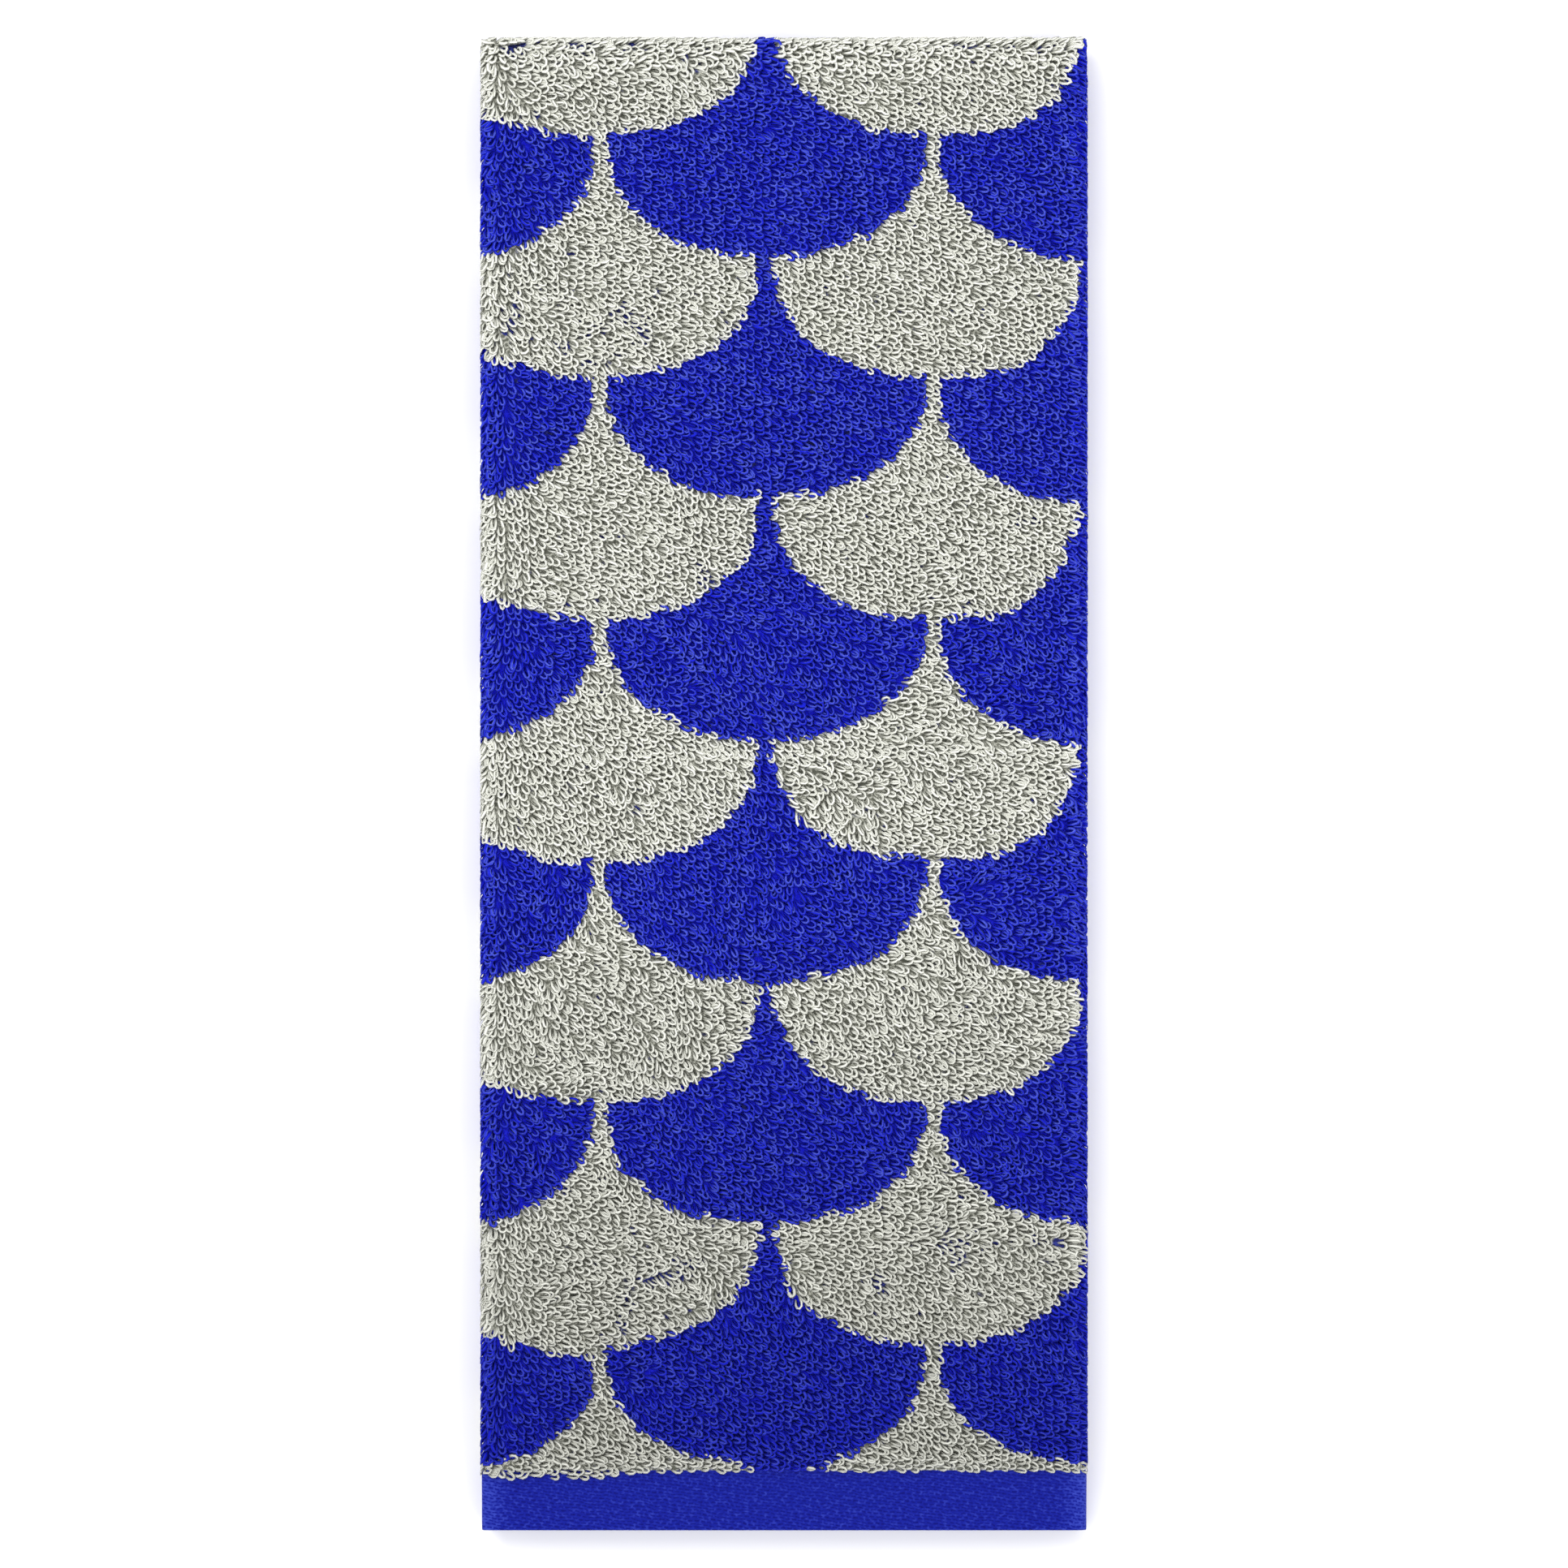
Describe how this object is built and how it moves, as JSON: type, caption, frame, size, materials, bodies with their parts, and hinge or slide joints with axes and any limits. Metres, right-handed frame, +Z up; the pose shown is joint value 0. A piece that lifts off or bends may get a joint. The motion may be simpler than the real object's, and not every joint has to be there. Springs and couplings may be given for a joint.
{
  "type": "folded hand towel",
  "caption": "Looped cotton terry hand towel in a blue and pale grey fish-scale pattern with flat woven hems, folded lengthwise and then across into a slim flat stack.",
  "frame": {"origin": "on the surface that the towel lies on, under the middle of its box", "axes": "+X across the folded towel, +Y along it from the hems to the top fold, +Z up out of the face panel"},
  "size_m": [0.152, 0.3746, 0.02],
  "materials": {
    "terry": "matt looped cotton terry, bright blue with pale grey scales"
  },
  "bodies": {
    "root": {"towel": "terry"}
  },
  "joints": []
}
